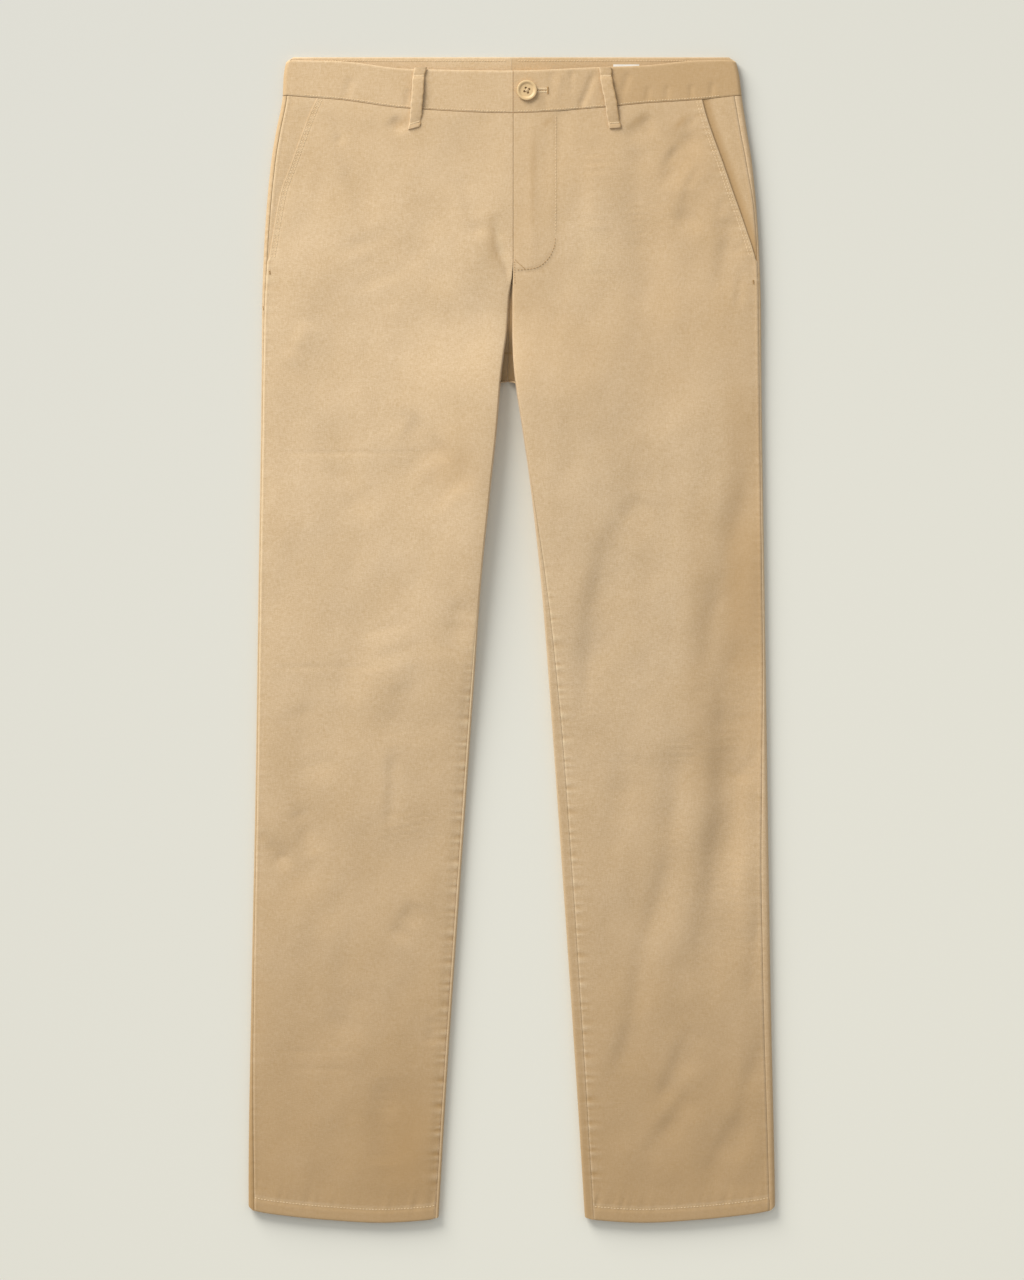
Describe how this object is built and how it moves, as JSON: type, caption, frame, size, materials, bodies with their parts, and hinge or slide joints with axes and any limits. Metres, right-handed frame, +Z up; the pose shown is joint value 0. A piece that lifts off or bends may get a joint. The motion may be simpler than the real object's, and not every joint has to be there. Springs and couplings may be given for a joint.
{
  "type": "chino trousers",
  "caption": "Plain beige cotton chino trousers laid flat with the front up: slanted pockets, zip fly with a buttoned waistband, belt loops and turned hems.",
  "frame": {"origin": "middle of the laid garment's footprint, on the surface that it lies on", "axes": "+X to the right of someone who looks down at the front with the waist away from them, +Y along the legs towards the waist, +Z up out of the front"},
  "size_m": [0.4936, 1.0935, 0.0122],
  "materials": {
    "cotton_twill": "matt peached cotton twill",
    "zip_nylon": "woven tape with a nylon chain",
    "button_resin": "satin polished",
    "white_tape": "plain woven tape"
  },
  "bodies": {
    "root": {"front_panel_left": "cotton_twill", "front_panel_right": "cotton_twill", "back_panel_left": "cotton_twill", "back_panel_right": "cotton_twill", "pocket_side_left": "cotton_twill", "pocket_side_right": "cotton_twill", "waistband_left": "cotton_twill", "waistband_right": "cotton_twill", "belt_loop_left": "cotton_twill", "belt_loop_right": "cotton_twill", "fly_zip": "zip_nylon", "waist_button": "button_resin", "waist_label": "white_tape"}
  },
  "joints": []
}
